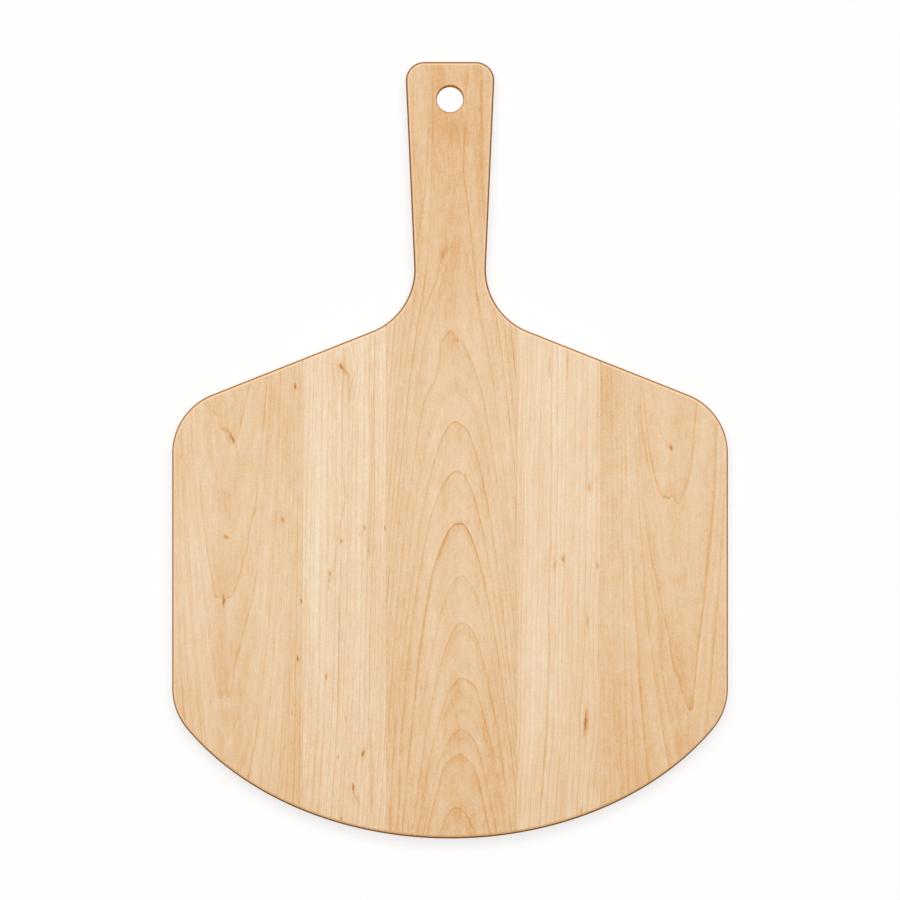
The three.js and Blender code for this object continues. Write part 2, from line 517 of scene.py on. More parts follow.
# Wood: what all five staves share. Tone 0 is the palest wood and 1 a dark growth line.
wood = {
    "tones": [  # tone and its colour
        (0.0, paint(243.5, 226, 203)),
        (0.25, paint(237.5, 212, 178)),
        (0.5, paint(231.5, 198.2, 158.8)),
        (0.75, paint(225, 185, 138.2)),
        (1.0, paint(216, 163, 101)),
        (1.5, paint(190, 122, 46)),
        (2.0, paint(138, 82, 14)),
    ],
    "warmTint": (1, 0.96, 0.9, 1),  # warmer patches
    "warmGain": 2.4,
    "warmShare": 0.3,

    # Growth rings, mm
    "lineInside": 1.1,  # how far a line fades towards the heart and away from it
    "lineOutside": 0.55,
    "lateWidth": 1.6,  # growth that darkens towards its line
    "lateCurve": 1.5,
    "earlyWidth": 2.0,  # pale growth after the line before
    "lineTone": 0.34,
    "lateTone": 0.13,
    "earlyTone": 0.06,
    "strongest": 2,  # most that a line's strength can be
    "fade": 1.5,  # how much lines come and go
    "straightFrom": 16,  # distance from the heart line where the arches begin to straighten
    "straightTo": 38,  # and where they are straight
    "flareAt": 30,
    "flarePower": 4,
    "driftStop": 4,
    "taperFrom": (0.15, 0.8),  # growth for each mm of face where lines begin to thin, and are thin
    "bandSize": 0.7,
    "hiddenWidths": (0.75, 1.25),  # rings that the work face doesn't show
    "hiddenStrengths": (0.4, 0.9),
    "lastStrength": 0.5,

    # Cloudy patterns: size across and along the grain in mm, detail, and a shift to set each apart
    "clouds": {
        "ripple": (5, 25, 2, 0),
        "sway": (12, 90, 1, 5),
        "fade": (4, 40, 1, 9),
        "streak": (1.0, 70, 1, 1),
        "fibre": (1.5, 11, 3, 2),
        "broad": (11, 120, 1, 3),
        "mottle": (4, 7, 2, 4),
        "speck": (0.7, 0.9, 1, 12),
        "pore": (0.4, 2.5, 0, 6),
        "pit": (0.35, 6, 1, 14),
        "waver": (2.5, 9, 1, 13),
        "raggedX": (1.2, 2.5, 2, 7),
        "raggedY": (1.2, 2.5, 2, 8),
        "warm": (7, 16, 2, 10),
    },
    "seedShift": 3.7,
    "shiftShares": (1, 1.3, 0.7),
    "broadTone": 0.5,
    "mottleTone": 0.25,
    "speckTone": 0.5,
    "poreTone": 0.1,
    "poreFrom": (0.15, 0.25),

    # Marks of the work face, mm
    "kinkDepth": 40,
    "stainDepth": 12,
    "fleckDepth": 3,
    "haloSize": 2.4,  # stained wood round a fleck, in sizes of the fleck
    "haloShare": 0.3,
    "ragged": 1.4,
    "veinWaver": 0.8,
    "veinEnds": 12,
    "veinDepth": (3, 1),  # below the face, where a vein begins to show and is full

    # Bare walls between the roundovers
    "wallFrom": (0.9, 2.8),  # mm from the nearer face where a wall begins to be bare, and is
    "sideTone": 0.1,  # how much darker a wall is along the grain, and across it
    "endTone": 0.24,
    "endFrom": (0.1, 0.8),
    "pitTone": 0.4,
    "pitFrom": (0.08, 0.2),
    "rayTone": 0.22,
    "raySize": 0.016,

    # Roundovers: a dark band, partly burnish and partly painted shade where they turn from the light,
    # with a painted highlight where they begin
    "wallColour": paint(166, 116, 12),  # along the grain
    "shoulderColour": paint(168, 110, 4),  # on the shoulders and the handle end
    "frontShadedColour": paint(138, 78, 4),  # on the front: painted shade, as it faces away from the lamp beyond the handle end
    "gripColour": paint(148, 92, 4),  # on the handle, darker
    "gripRows": (330, 280),  # rows of the photograph where the handle's colour comes in
    # In the hang hole: golden at the rim and paler deeper in, painted light where the bore lies in
    # shade
    "boreRimColour": paint(226, 170, 98),
    "boreLitColour": paint(240, 198, 136),
    "wallFigure": 0.5,  # how much of the grain shows through
    "rimHighlightColour": paint(255, 222, 182),  # painted highlight where the roundover begins, where it catches the light
    "frontRimShadeColour": paint(220, 168, 106),  # the same on the front, darker: painted shade, as it faces away from the lamp
    "rimTo": 0.25,
    "rimShare": 0.6,
    "burnishAndShadeFrom": (0.45, 0.82),  # slope where the band of burnish and painted shade begins, and is full
    # the band reaches further on the front, where it is painted shade, and in the hang hole and on the
    # handle
    "frontShadeReach": 0.06,
    "boreBandReach": 0.25,
    "gripBandReach": 0.03,

    # Surface
    "roughness": 0.5,
    "fibreRough": 0.25,
    "poreRough": 0.12,
    "lineGloss": 0.08,
    "gloss": 0,  # bare wood has none, and the oil has its own
    "oil": 0.5,  # share of the faces that the oil makes shine
    "oilRoughness": 0.4,
    "fibreRelief": 0.5,
    "streakRelief": 0.3,
    "poreRelief": 0.7,
    "lineRelief": 0.3,
    "bump": 0.05,
    "bumpHeight": 0.2,  # mm
}


# Straight lines between pairs
def between(pairs, at):
    pairs = sorted(pairs)
    for (fromX, fromY), (toX, toY) in zip(pairs, pairs[1:]):
        if at <= toX:
            return fromY + (toY - fromY) * (max(at, fromX) - fromX) / (toX - fromX)
    return pairs[-1][1]


# Pairs of a photograph's row and a value, with the row as a place along the board
def rowPairs(pairs):
    return [(boardY(row), value) for row, value in pairs]


def heartPairs(grain):
    lean = rowPairs(grain["lean"])
    return [(between(lean, boardY(row)), boardX(column)) for row, column in grain["heartLine"]]


# Growth at a pixel of the work face, as in the nodes below:
# mm out from the ring that passes under its heart line
def growthAt(grain, column, row):
    x = boardX(column)
    y = boardY(row)
    depth = grain["heartDepth"]
    lean = between(rowPairs(grain["lean"]), y)
    guess = math.hypot(x - boardX(grain["heartColumn"]), depth) - depth
    heart = between(heartPairs(grain), guess + lean) - grain["drift"] * min(guess, wood["driftStop"])
    aside = x - heart
    far = (abs(aside) - wood["straightFrom"]) / (wood["straightTo"] - wood["straightFrom"])
    far = min(max(far, 0), 1)
    lean *= 1 - grain["straight"] * far * far * (3 - 2 * far)
    flare = grain["flare"] * (aside / wood["flareAt"]) ** wood["flarePower"]
    return math.hypot(aside, depth) - depth + flare + lean


# Growth of every ring's dark line, with the line's strength.
# Rings that the work face doesn't show are added inside.
def ringLines(grain):
    chance = random.Random(grain["seed"])
    lines = sorted((growthAt(grain, column, row), strength) for column, row, strength in grain["lines"])
    for i in range(grain["hiddenRings"]):
        width = grain["ringWidth"] * chance.uniform(*wood["hiddenWidths"])
        lines.insert(0, (lines[0][0] - width, chance.uniform(*wood["hiddenStrengths"])))
    lines.append((lines[-1][0] + grain["ringWidth"], wood["lastStrength"]))
    return lines


# Patterns that the wood and the glue use, on one piece's own coordinates
class Grain:
    def __init__(self, nodes, seed):
        self.nodes = nodes
        self.seed = seed
        self.place = nodes.add("ShaderNodeTexCoord", out="Object")

    # Cloudy pattern from -0.5 to 0.5
    def cloud(self, across, along, detail, shift):
        shift += self.seed * wood["seedShift"]
        spot = self.nodes.add("ShaderNodeMapping", {"vector_type": "POINT"}, {
            "Vector": self.place,
            "Location": tuple(shift * share for share in wood["shiftShares"]),
            "Scale": (1 / across / mm, 1 / along / mm, 1 / across / mm),
        })
        values = {"Vector": spot, "Scale": 1, "Detail": detail}
        return self.nodes.add("ShaderNodeTexNoise", {}, values) - 0.5

    # Pattern that changes only with one value
    def wander(self, value, size):
        values = {"W": value / size + self.seed, "Scale": 1, "Detail": 1}
        return self.nodes.add("ShaderNodeTexNoise", {"noise_dimensions": "1D"}, values) - 0.5

    # Distance from a pixel of the work face, 1 at the edge of an upright oval of that size in pixels
    def away(self, place, column, row, tall, wide, tilt, deep):
        spot = self.nodes.add("ShaderNodeMapping", {"vector_type": "TEXTURE"}, {
            "Vector": place,
            "Location": Vector((boardX(column), boardY(row), boardThickness)) * mm,
            "Rotation": (0, 0, math.radians(tilt)),
            "Scale": Vector((wide * view["pixelSize"] / 2, tall * view["pixelSize"] / 2, deep)) * mm,
        })
        return self.nodes.add("ShaderNodeVectorMath", {"operation": "LENGTH"}, [spot], "Value")

    # A ramp that follows pairs of numbers
    def follow(self, value, pairs):
        pairs = sorted(pairs)
        low = pairs[0][0]
        reach = pairs[-1][0] - low
        least = min(y for x, y in pairs)
        span = max(y for x, y in pairs) - least
        if span == 0:
            return least
        stops = []
        for x, y in pairs:
            share = (y - least) / span
            stops.append(((x - low) / reach, (share, share, share, 1)))
        ramp = self.nodes.add("ShaderNodeValToRGB", {"stops": stops}, [(value - low) / reach])
        return ramp * span + least


def woodMaterial(name, grain):
    material = bpy.data.materials.new(name)
    material.use_nodes = True
    nodes = Nodes(material.node_tree)
    figure = Grain(nodes, grain["seed"])
    clouds = wood["clouds"]
    facePlace = figure.place
    split = nodes.add("ShaderNodeSeparateXYZ", {}, [facePlace])
    x, y, z = (split.also(axis) / mm for axis in "XYZ")

    # Rings about a heart line below the work face, which leans and wanders
    depth = grain["heartDepth"]
    height = z - boardThickness + depth
    lean = figure.follow(y, rowPairs(grain["lean"]))
    offHeart = x - boardX(grain["heartColumn"])
    guess = (offHeart * offHeart + height * height).root() - depth
    drift = guess.least(wood["driftStop"]) * grain["drift"]
    heart = figure.follow(guess + lean, heartPairs(grain)) - drift
    aside = x - heart
    far = abs(aside).rise(wood["straightFrom"], wood["straightTo"])
    radius = (aside * aside + height * height).root() - depth
    flare = (aside / wood["flareAt"]) ** wood["flarePower"] * grain["flare"]
    calm = figure.follow(y, rowPairs(grain["calm"]))
    ripple = figure.cloud(*clouds["ripple"]) * grain["ripple"]
    sway = figure.cloud(*clouds["sway"]) * grain["sway"]
    growth = radius + flare + lean * (1 - far * grain["straight"]) + (ripple + sway) * calm
    for *spot, amount in grain["kinks"]:
        growth = growth + figure.away(facePlace, *spot, wood["kinkDepth"]).rise(1, 0) * amount

    # Each ring darkens towards its line and starts pale
    lines = ringLines(grain)
    first = lines[0][0]
    reach = lines[-1][0] - first
    count = len(lines) - 1
    stops = []
    for i, (at, dark) in enumerate(lines):
        stops.append(((at - first) / reach, (i / count, dark / wood["strongest"], 0, 1)))
    table = nodes.add("ShaderNodeValToRGB", {"stops": stops}, [(growth - first) / reach])
    ring = nodes.add("ShaderNodeSeparateColor", {}, [table])
    phase = (ring * count).fraction()
    width = reach / count
    ahead = (1 - phase) * width
    behind = phase * width
    power = wood["flarePower"]
    flareSlope = power * grain["flare"] / wood["flareAt"] ** power
    across = aside / (radius + depth) + aside ** (power - 1) * flareSlope
    steep = (across * across + grain["steep"] ** 2).root()  # growth for each mm of the face
    thin = steep.rise(*wood["taperFrom"]) * grain["taper"]  # lines thin out towards the sides
    fine = (1 - thin) * grain["lineSize"]
    inside = 1 - ahead / steep / fine / wood["lineInside"]
    outside = 1 - behind / steep / fine / wood["lineOutside"]
    line = inside.most(outside).most(0)
    late = (1 - ahead / wood["lateWidth"]).most(0) ** wood["lateCurve"]
    early = (1 - behind / wood["earlyWidth"]).most(0)
    ringTone = line * wood["lineTone"] + late * wood["lateTone"] - early * wood["earlyTone"]
    fade = figure.cloud(*clouds["fade"]) * wood["fade"] + 1
    strength = ring.also("Green") * wood["strongest"] * fade * calm * fine

    # Bands within the rings, then fibres, pores and clouds.
    # Fibres spread from the heart line or close in on it.
    spread = figure.follow(y, rowPairs(grain["spread"]))
    fibreX = boardX(grain["heartColumn"]) + offHeart / (1 + spread)
    figure.place = nodes.vector(fibreX * mm, y * mm, z * mm)
    bands = figure.wander(growth, wood["bandSize"])
    streak = figure.cloud(*clouds["streak"])
    fibre = figure.cloud(*clouds["fibre"])
    broad = figure.cloud(*clouds["broad"])
    mottle = figure.cloud(*clouds["mottle"])
    speck = figure.cloud(*clouds["speck"])
    pores = figure.cloud(*clouds["pore"]).rise(*wood["poreFrom"])
    tone = grain["tone"] + ringTone * strength * grain["contrast"] + bands * calm * grain["bands"]
    tone = tone + streak * grain["streaks"] + fibre * grain["fibres"]
    tone = tone + broad * wood["broadTone"] + mottle * wood["mottleTone"]
    tone = tone + speck * wood["speckTone"] + pores * wood["poreTone"]
    tone = tone + figure.follow(y, rowPairs(grain["shade"]))

    # Walls are darker where the grain is cut across, with open pores and fine rays out from the heart
    run = nodes.attribute("acrossGrain")
    bore = nodes.attribute("boreWall")
    deep = z.least(boardThickness - z).rise(*wood["wallFrom"])
    bare = deep * (1 - bore)
    endGrain = bare * abs(run).rise(*wood["endFrom"])
    pits = figure.cloud(*clouds["pit"]).rise(*wood["pitFrom"])
    rays = figure.wander(aside / height, wood["raySize"])
    endTone = wood["endTone"] + pits * wood["pitTone"] + rays * wood["rayTone"]
    tone = tone + bare * wood["sideTone"] + endGrain * endTone

    # Broad stained or pale patches of the work face
    for *spot, dark in grain["stains"]:
        tone = tone + figure.away(facePlace, *spot, wood["stainDepth"]).rise(1, 0) * dark

    # Single stained lines near the work face, from the handle end towards the front
    waver = figure.cloud(*clouds["waver"]) * wood["veinWaver"]
    skin = z.rise(*(boardThickness - below for below in wood["veinDepth"]))
    for dark, thick, points in grain["veins"]:
        path = [(boardY(row), boardX(column)) for column, row in points]
        startY = path[0][0]
        endY = path[-1][0]
        off = abs(x - figure.follow(y, path) + waver) / (thick * view["pixelSize"] / 2)
        ends = y.rise(endY, endY + wood["veinEnds"]) * y.rise(startY, startY - wood["veinEnds"])
        tone = tone + (1 - off).most(0) * ends * skin * dark

    # Flecks and small knots, dark with a paler ring of stained wood and ragged edges
    nudge = nodes.vector(figure.cloud(*clouds["raggedX"]), figure.cloud(*clouds["raggedY"]), 0)
    values = {0: nudge, "Scale": wood["ragged"] * mm}
    nudge = nodes.add("ShaderNodeVectorMath", {"operation": "SCALE"}, values)
    ragged = nodes.add("ShaderNodeVectorMath", {"operation": "ADD"}, [facePlace, nudge])
    for *spot, dark in grain["flecks"]:
        away = figure.away(ragged, *spot, wood["fleckDepth"])
        halo = (1 - away / wood["haloSize"]).most(0) ** 2
        tone = tone + (1 - away).most(0) * dark + halo * dark * wood["haloShare"]

    # Colour of the tone, here and there warmer
    top = wood["tones"][-1][0]
    stops = [(value / top, colour) for value, colour in wood["tones"]]
    colour = nodes.add("ShaderNodeValToRGB", {"stops": stops}, [tone / top])
    warm = nodes.blend(1, colour, wood["warmTint"], "MULTIPLY")
    warmth = figure.cloud(*clouds["warm"]) * wood["warmGain"] + wood["warmShare"]
    colour = nodes.blend(warmth.least(1).most(0), colour, warm)

    # Dark band on the roundovers, partly burnish and partly painted shade where they turn from the
    # light, darkest on the front edge, which faces away from the lamp
    slope = nodes.attribute("edgeSlope")
    front = run.most(0) ** 2
    back = (run * -1).most(0) ** 2
    grip = y.rise(*(boardY(row) for row in wood["gripRows"]))
    # Painted highlight where the roundover begins, and painted shade there on the front
    rim = nodes.blend(front, wood["rimHighlightColour"], wood["frontRimShadeColour"])
    rimHighlightAndShade = slope.rise(0, wood["rimTo"]) * (1 - bare) * wood["rimShare"]
    colour = nodes.blend(rimHighlightAndShade, colour, rim)
    wall = nodes.blend(front, wood["wallColour"], wood["frontShadedColour"])
    wall = nodes.blend(back, wall, wood["shoulderColour"])
    wall = nodes.blend(grip, wall, wood["gripColour"])
    # Painted light deeper in the hang hole, where it lies in shade
    boreWall = nodes.blend(deep, wood["boreRimColour"], wood["boreLitColour"])
    wall = nodes.blend(bore, wall, boreWall)
    figured = nodes.blend(1, wall, colour, "MULTIPLY")
    wall = nodes.blend(wood["wallFigure"], wall, figured)
    # How far the band of burnish and painted shade reaches
    burnishAndShade = slope + front * wood["frontShadeReach"] + bore * wood["boreBandReach"] + grip * wood["gripBandReach"]
    burnishAndShade = burnishAndShade.rise(*wood["burnishAndShadeFrom"])
    colour = nodes.blend(burnishAndShade * (1 - bare), colour, wall)

    mark = line * strength
    rough = wood["roughness"] + fibre * wood["fibreRough"] + pores * wood["poreRough"]
    relief = fibre * wood["fibreRelief"] + streak * wood["streakRelief"]
    relief = relief - pores * wood["poreRelief"] - mark * wood["lineRelief"]
    bump = nodes.add("ShaderNodeBump", {}, {
        "Strength": wood["bump"],
        "Distance": wood["bumpHeight"] * mm,
        "Height": relief,
    })
    shader = nodes.add("ShaderNodeBsdfPrincipled", {}, {
        "Base Color": colour,
        "Roughness": rough - mark * wood["lineGloss"],
        "Normal": bump,
        "Specular IOR Level": wood["gloss"],
        "Coat Weight": (1 - burnishAndShade) * wood["oil"],
        "Coat Roughness": wood["oilRoughness"],
    })
    nodes.add("ShaderNodeOutputMaterial", {}, {"Surface": shader})
    return material


# Part of the panel between two planes square to X, with flat cut faces
def cutStrip(name, fromX, toX):
    strip = bmesh.new()
    strip.from_mesh(panelMesh)
    for x, side in ((fromX, -1), (toX, 1)):
        if abs(x) < boardWidth / 2:
            parts = strip.verts[:] + strip.edges[:] + strip.faces[:]
            cut = bmesh.ops.bisect_plane(
                strip, geom=parts, dist=panel["cutReach"] * mm, plane_co=(x * mm, 0, 0),
                plane_no=(side, 0, 0), clear_outer=True)
            rim = [part for part in cut["geom_cut"] if isinstance(part, bmesh.types.BMEdge)]
            bmesh.ops.contextual_create(strip, geom=rim)
    bmesh.ops.recalc_face_normals(strip, faces=strip.faces)
    for face in strip.faces:
        face.smooth = max(abs(face.normal.x), abs(face.normal.z)) < panel["flatFrom"]
    mesh = bpy.data.meshes.new(name)
    strip.to_mesh(mesh)
    strip.free()
    mesh.materials.clear()
    piece = bpy.data.objects.new(name, mesh)
    bpy.context.collection.objects.link(piece)
    return piece


def finishPiece(piece, material, node):
    piece.data.materials.append(material)
    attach(piece, "root")
    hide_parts(node)


# Glue joints of the panel, mm. The staves meet the glue, and the outer staves run to the outline.
joints = {
    "centreWidth": 70.4,
    "innerWidth": 45.1,
    "shift": 0.7,  # the glued panel lies this far right of the outline's middle
    "glueThickness": 0.15,
}
innerJoint = joints["centreWidth"] / 2
outerJoint = innerJoint + joints["innerWidth"]
jointX = [joints["shift"] + x for x in (-outerJoint, -innerJoint, innerJoint, outerJoint)]
halfGlue = joints["glueThickness"] / 2

# Each stave's own grain. Places are columns and rows of the photograph, and sizes are in its pixels.
# heartLine: row and column. lean, calm, spread and shade: row and value. lines: column, row, strength.
# stains, kinks and flecks: column, row, height, width, tilt in degrees, amount.
# veins: darkness, width, and the places that the vein runs through.
# heartDepth, ringWidth, ripple and sway are in mm. drift pulls the heart line aside ring by ring,
# flare crowds the lines at the sides, and straight takes the lean off them there.
# contrast, bands, streaks and fibres weigh what varies the tone.
outerStaveLeft = {
    "piece": "outerStaveLeft", "node": "outer_stave_left", "slot": "outer_stave_wood", "seed": 5,
    "heartColumn": 224.7, "heartDepth": 33,
    "heartLine": [(400, 229), (441, 231), (520, 226), (597, 224), (697, 224), (836, 224)],
    "lean": [(340, -6.75), (840, 6.75)],
    "drift": -0.8, "flare": 0.5, "straight": 0.8,
    "lines": [
        (231, 441, 0.75), (226, 520, 0.2), (224, 608, 1.0), (224, 682, 0.85), (224, 735, 0.45),
        (203, 650, 0.3), (270, 606, 0.85), (277, 606, 0.55), (282, 606, 0.65), (287, 606, 0.55),
        (292, 606, 0.75), (297, 606, 0.65), (301.5, 606, 0.5),
    ],
    "ringWidth": 2.6, "hiddenRings": 8, "ripple": 0.6, "sway": 0.6,
    "calm": [(380, 1), (800, 1)],
    "steep": 0.05, "lineSize": 0.8, "taper": 0.2,
    "tone": 0.535, "contrast": 1.2, "bands": 0.27, "streaks": 0.14, "fibres": 0.5,
    "spread": [(380, 0.28), (590, 0), (800, -0.24)],
    "shade": [(380, 0.03), (500, 0.0), (600, -0.02), (700, 0.03), (800, 0.1)],
    "stains": [
        (226, 600, 400, 44, 0, 0.12), (196, 560, 360, 36, -4, -0.1), (286, 440, 160, 40, 6, 0.08),
    ],
    "kinks": [
        (224, 604, 36, 22, 0, 0.4), (223.5, 602, 24, 5, 0, -0.3), (225, 686, 80, 42, 0, -0.7),
        (225, 692, 20, 8, 0, 0.34), (212, 408, 22, 12, 0, 0.3), (220, 424, 18, 12, 0, -0.22),
    ],
    "veins": [],
    "flecks": [
        (232.5, 439, 16, 3.4, 20, 0.95), (226, 430, 14, 4, 50, 0.26), (295, 386.5, 9, 2.6, 0, 1.05),
        (226.3, 537, 5, 7, -30, 0.7), (282.6, 519.5, 8, 3, 20, 0.8), (280, 521, 26, 34, 0, 0.12),
        (223.8, 601, 16, 3.2, 0, 1.05), (301, 601, 7, 2.8, 0, 0.85), (297.5, 658.5, 8, 3, 5, 1.1),
        (292, 713, 6, 2.8, 0, 0.4), (220.5, 693, 16, 6, 0, 0.12), (229.5, 694, 16, 6, 0, 0.16),
        (215, 413, 12, 4, 40, 0.25),
    ],
}
innerStaveLeft = {
    "piece": "innerStaveLeft", "node": "inner_stave_left", "slot": "inner_stave_wood", "seed": 11,
    "heartColumn": 540, "heartDepth": 33,
    "heartLine": [(62, 540), (836, 540)],
    "lean": [(370, 1.8), (590, 0), (730, -1.39), (800, -3.7), (836, -4.9)],
    "drift": 0, "flare": 0, "straight": 0,
    "lines": [
        (305, 590, 0.5), (310, 590, 0.8), (313.5, 590, 0.3), (319, 590, 0.5), (325.7, 590, 0.9),
        (330, 590, 0.4), (333.5, 590, 0.8), (339.5, 590, 0.8), (346, 590, 0.3), (350, 590, 0.7),
        (354, 590, 0.4), (361, 590, 0.6), (366.5, 590, 0.8), (371.3, 590, 1.4), (374.5, 590, 0.5),
        (379, 590, 0.8), (383, 590, 0.6),
    ],
    "ringWidth": 2.6, "hiddenRings": 6, "ripple": 1.5, "sway": 2.6,
    "calm": [(340, 1), (836, 1)],
    "steep": 0.02, "lineSize": 0.7, "taper": 0,
    "tone": 0.335, "contrast": 1.2, "bands": 0.46, "streaks": 0.27, "fibres": 0.46,
    "spread": [(370, -0.018), (590, 0), (730, 0.0138), (800, 0.037), (836, 0.049)],
    "shade": [(340, -0.06), (450, -0.04), (600, 0), (760, 0.1), (836, 0.16)],
    "stains": [
        (376, 600, 560, 28, 0, 0.13), (316, 640, 240, 34, 0, -0.14), (344, 380, 70, 50, 0, 0.08),
    ],
    "kinks": [(331, 364, 70, 24, 0, -2.2), (354, 366, 80, 26, 0, 2.6)],
    "veins": [
        (0.34, 5, [(371, 380), (372, 440), (371.5, 480), (371, 520), (368.5, 565)]),
        (0.28, 3, [(343, 455), (342.5, 470), (345.5, 498), (341, 521), (335, 557), (331, 590)]),
        (0.3, 6, [(370, 720), (371, 770), (372, 830)]),
        (0.25, 4, [(339, 580), (339, 660), (338, 740)]),
    ],
    "flecks": [
        (341, 366.5, 8, 4.6, 15, 1.2), (346.5, 373, 15, 4.6, 45, 0.38), (349, 390, 30, 5, 3, 0.36),
        (364.4, 528, 8, 3, 0, 0.9), (341, 541.5, 7, 3.2, 0, 0.7), (360, 535, 5, 2.4, 0, 0.5),
        (369, 552, 12, 3, 0, 0.3), (329.8, 573.5, 8, 3, 0, 0.75), (329, 580.5, 8, 3, 5, 0.65),
        (328.3, 587.5, 6, 2.6, 0, 0.6), (385, 528, 9, 3, 0, 0.8), (326.2, 677, 9, 3.2, -10, 0.75),
        (345.6, 719, 11, 3, 0, 0.65), (363.4, 753.5, 9, 3.6, -10, 1.08), (364, 750, 24, 10, -15, 0.16),
        (338, 757, 8, 3, 0, 0.7), (353.3, 787.5, 12, 3.2, 5, 1.05), (357, 799, 18, 4, 25, 0.33),
        (341.2, 818.5, 7, 3, 0, 0.6), (342, 368, 30, 22, 0, 0.15),
    ],
}
centreStave = {
    "piece": "centreStave", "node": "centre_stave", "slot": "centre_stave_wood", "seed": 3,
    "heartColumn": 457, "heartDepth": 33,
    "heartLine": [
        (62, 458), (231, 458), (265, 456), (298, 455), (332, 454), (420, 456.5), (471, 455.5),
        (522, 458), (575, 462), (625, 463), (677, 463.5), (729, 461.5), (752, 459.5), (808, 457),
        (836, 456),
    ],
    "lean": [
        (62, 6.0), (141, 5.7), (174, 5.56), (204, 5.39), (231, 5.06), (265, 4.47), (298, 3.15),
        (326, 1.43), (350, 0.0), (840, -26.4),
    ],
    "drift": 0.1, "flare": 2.5, "straight": 0,
    "lines": [
        (456, 332, 0.58), (456, 375, 0.25), (457, 420, 0.9), (456.5, 469, 0.8), (459, 522, 1.2),
        (462, 575, 0.4), (463, 622, 0.65), (463.5, 677, 0.7), (461.5, 729, 0.55), (459.5, 752, 0.5),
        (457, 808, 0.6), (458, 150, 0.2), (419.7, 366, 0.7), (411.4, 366, 1.15), (405, 366, 0.55),
        (399.4, 366, 1.05), (395, 366, 0.55), (391, 366, 0.9), (386, 366, 0.75),
    ],
    "ringWidth": 2.7, "hiddenRings": 6, "ripple": 0.34, "sway": 0.6,
    "calm": [(62, 0.4), (250, 0.4), (340, 1), (836, 1)],
    "steep": 0.1, "lineSize": 1, "taper": 0.34,
    "tone": 0.58, "contrast": 1.2, "bands": 0.29, "streaks": 0.1, "fibres": 0.48,
    "spread": [(62, -0.1), (340, -0.1), (590, 0), (836, 0.14)],
    "shade": [
        (62, 0.18), (260, 0.16), (330, 0.0), (400, -0.05), (560, -0.02), (700, 0.06), (836, 0.14),
    ],
    "stains": [
        (404, 620, 240, 44, 0, -0.1), (480, 740, 280, 110, 0, 0.1), (459, 772, 60, 56, 0, -0.07),
    ],
    "kinks": [
        (456, 366, 84, 70, 0, 0.7), (435, 380, 84, 38, 8, 0.85), (449, 337, 40, 32, 0, -0.26),
        (460, 340, 16, 12, 0, 0.1), (457, 336, 24, 12, 0, 0.4), (441, 344, 16, 12, 0, -0.2),
        (459, 533, 30, 44, 0, -0.2), (441, 768, 40, 26, 0, -0.4),
    ],
    "veins": [
        (0.34, 3, [(465, 118), (463.5, 170), (469, 214), (474, 265), (480, 318), (484, 345)]),
        (0.26, 3, [(430, 108), (427.5, 160), (424, 200), (416, 248)]),
        (0.32, 3, [(443, 250), (441, 259), (436, 282), (427, 304), (421, 330)]),
        (0.18, 3, [(434, 140), (434, 190), (432, 225)]),
        (0.2, 3, [(482, 70), (480, 140), (483, 215)]),
        (0.24, 4, [(469, 62), (467, 80), (463, 100)]),
    ],
    "flecks": [
        (443.8, 253, 22, 8, -20, 0.26), (460, 523.5, 8, 26, 0, 0.3), (449, 341, 22, 22, 0, 0.08),
        (457, 340.2, 5, 10, 42, 0.26), (425, 786, 60, 14, -8, 0.13), (456.5, 811, 18, 26, 0, 0.14),
        (455, 126, 50, 34, 0, 0.2),
    ],
}
innerStaveRight = {
    "piece": "innerStaveRight", "node": "inner_stave_right", "slot": "inner_stave_wood", "seed": 17,
    "heartColumn": 360, "heartDepth": 33,
    "heartLine": [(62, 360), (836, 360)],
    "lean": [(370, -1.85), (590, 0), (730, 1.39), (800, 3.75), (836, 4.9)],
    "drift": 0, "flare": 0, "straight": 0,
    "lines": [
        (520, 590, 0.6), (523, 590, 0.9), (528, 590, 0.7), (533.5, 590, 0.4), (538.7, 590, 0.7),
        (542, 590, 0.3), (549.8, 590, 1.0), (555.3, 590, 0.7), (559.5, 590, 0.3), (564, 590, 0.6),
        (569.7, 590, 0.4), (573.5, 590, 0.7), (579.6, 590, 0.3), (585, 590, 0.9), (590, 590, 0.5),
        (595, 590, 0.8),
    ],
    "ringWidth": 2.6, "hiddenRings": 6, "ripple": 1.5, "sway": 2.6,
    "calm": [(340, 1), (836, 1)],
    "steep": 0.02, "lineSize": 0.7, "taper": 0,
    "tone": 0.35, "contrast": 1.25, "bands": 0.4, "streaks": 0.27, "fibres": 0.45,
    "spread": [(370, 0.0175), (590, 0), (730, -0.0135), (800, -0.036), (836, -0.0475)],
    "shade": [(340, -0.06), (450, -0.04), (600, 0), (760, 0.1), (836, 0.16)],
    "stains": [(580, 430, 260, 56, 0, 0.1), (556, 700, 240, 60, 0, -0.1), (592, 740, 160, 20, 0, 0.08)],
    "kinks": [(577, 720, 130, 20, 0, 1.8), (595, 720, 130, 20, 0, -1.8)],
    "veins": [],
    "flecks": [
        (585.3, 723, 36, 3.8, -4, 0.95), (585.7, 724, 15, 2.4, -2, 0.45), (589.5, 488, 13, 4, 0, 0.7),
        (563.2, 559, 10, 3, 5, 0.9), (554.6, 566, 20, 3.4, 0, 0.55), (597.3, 565.8, 9, 3.4, 0, 0.75),
        (587.3, 620, 26, 4, 3, 0.5), (580.7, 812, 14, 4, -10, 0.5), (549.6, 365, 30, 3.4, 0, 0.5),
        (567, 364, 40, 3.6, 0, 0.42), (562, 660.6, 4.5, 3, 0, 0.6),
    ],
}
